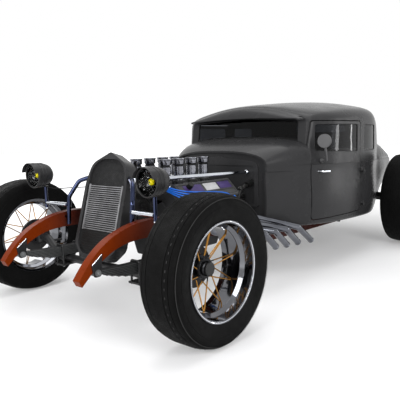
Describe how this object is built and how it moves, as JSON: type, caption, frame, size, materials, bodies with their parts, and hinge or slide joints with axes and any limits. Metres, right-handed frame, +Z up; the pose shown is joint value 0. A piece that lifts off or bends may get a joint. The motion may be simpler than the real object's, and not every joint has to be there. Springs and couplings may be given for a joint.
{
  "type": "fenderless hot rod coupe",
  "caption": "Open-wheel hot rod coupe with exposed vee engine, side pipes, steered front wheels, opening doors and deck lid.",
  "frame": {"origin": "middle of the footprint on the floor, under the middle of the car's length", "axes": "+X to the car's left, -Y to the nose, +Z up"},
  "size_m": [1.9168, 3.7289, 1.2664],
  "materials": {
    "body_paint": "satin grey paint",
    "floor_paint": "satin black paint",
    "frame_paint": "semi-gloss red-orange paint",
    "glass": "dark tinted",
    "bulb": "yellow glass",
    "spring_steel": "satin dark grey",
    "chrome": "polished",
    "spokes": "satin bronze",
    "tyre": "matte rubber",
    "engine": "painted castings",
    "cover": "cast, satin",
    "black": "satin black",
    "lead": "bright blue silicone",
    "bars": "brushed",
    "leather": "dark red leather",
    "mirror": "satin",
    "lamp": "red lens"
  },
  "bodies": {
    "chassis": {"cowl": "body_paint", "cylinder_heads": "engine", "dashboard": "black", "distributor": "black", "drive_line": "engine", "engine_block": "engine", "exhaust_pipes": "chrome", "firewall": "body_paint", "fixed_glass": "glass", "floor_pan": "floor_paint", "frame": "frame_paint", "front_axle": "spring_steel", "front_drive": "engine", "front_springs": "spring_steel", "grille_bars": "bars", "grille_shell": "body_paint", "headlight_bowls": "body_paint", "headlight_bulbs": "bulb", "headlight_lenses": "glass", "intake_manifold": "cover", "nose_stays": "chrome", "plug_leads": "lead", "quarter_panels": "body_paint", "radiator": "black", "radiator_hose": "black", "rear_axle": "spring_steel", "roof": "body_paint", "seat_back": "leather", "seat_cushion": "leather", "sills": "body_paint", "spring_hangers": "spring_steel", "steering_column": "black", "tail_lamps": "lamp", "trailing_arms": "spring_steel", "valve_covers": "cover", "velocity_stacks": "chrome"},
    "door_left": {"door_left": "body_paint", "door_glass_left": "glass", "handle_left": "chrome", "mirror_left": "mirror"},
    "door_right": {"door_right": "body_paint", "door_glass_right": "glass", "handle_right": "chrome"},
    "deck_lid": {"deck_lid": "body_paint"},
    "steering_wheel": {"steering_wheel": "leather"},
    "knuckle_left": {"knuckle_left": "spring_steel"},
    "knuckle_right": {"knuckle_right": "spring_steel"},
    "wheel_front_left": {"tyre_front_left": "tyre", "rim_front_left": "chrome", "spokes_front_left": "spokes"},
    "wheel_front_right": {"tyre_front_right": "tyre", "rim_front_right": "chrome", "spokes_front_right": "spokes"},
    "wheel_rear_left": {"tyre_rear_left": "tyre", "rim_rear_left": "chrome", "spokes_rear_left": "spokes"},
    "wheel_rear_right": {"tyre_rear_right": "tyre", "rim_rear_right": "chrome", "spokes_rear_right": "spokes"}
  },
  "joints": [
    {"name": "steer_left", "type": "hinge", "parent": "chassis", "child": "knuckle_left", "pos_m": [0.64, -1.428, 0.366], "axis": [0, 0, 1], "range_deg": [-26, 26]},
    {"name": "steer_right", "type": "hinge", "parent": "chassis", "child": "knuckle_right", "pos_m": [-0.64, -1.428, 0.366], "axis": [0, 0, 1], "range_deg": [-26, 26]},
    {"name": "spin_front_left", "type": "hinge", "parent": "knuckle_left", "child": "wheel_front_left", "pos_m": [0.791, -1.428, 0.368], "axis": [1, 0, 0], "continuous": true},
    {"name": "spin_front_right", "type": "hinge", "parent": "knuckle_right", "child": "wheel_front_right", "pos_m": [-0.791, -1.428, 0.368], "axis": [1, 0, 0], "continuous": true},
    {"name": "spin_rear_left", "type": "hinge", "parent": "chassis", "child": "wheel_rear_left", "pos_m": [0.79, 1.467, 0.4], "axis": [1, 0, 0], "continuous": true},
    {"name": "spin_rear_right", "type": "hinge", "parent": "chassis", "child": "wheel_rear_right", "pos_m": [-0.79, 1.467, 0.4], "axis": [1, 0, 0], "continuous": true},
    {"name": "door_left_hinge", "type": "hinge", "parent": "chassis", "child": "door_left", "pos_m": [0.672, 0.642, 0.7], "axis": [0, 0, 1], "range_deg": [0, 62]},
    {"name": "door_right_hinge", "type": "hinge", "parent": "chassis", "child": "door_right", "pos_m": [-0.672, 0.642, 0.7], "axis": [0, 0, -1], "range_deg": [0, 62]},
    {"name": "deck_lid_hinge", "type": "hinge", "parent": "chassis", "child": "deck_lid", "pos_m": [0, 1.318, 0.985], "axis": [1, 0, 0], "range_deg": [0, 62]},
    {"name": "steering_wheel_turn", "type": "hinge", "parent": "chassis", "child": "steering_wheel", "pos_m": [0.29, 0.2292, 0.8196], "axis": [0, 0.9684, 0.2494], "range_deg": [-320, 320]}
  ],
  "couplings": [
    {"joint": "steer_right", "follows": "steer_left", "ratio": 1},
    {"joint": "steering_wheel_turn", "follows": "steer_left", "ratio": 12}
  ]
}
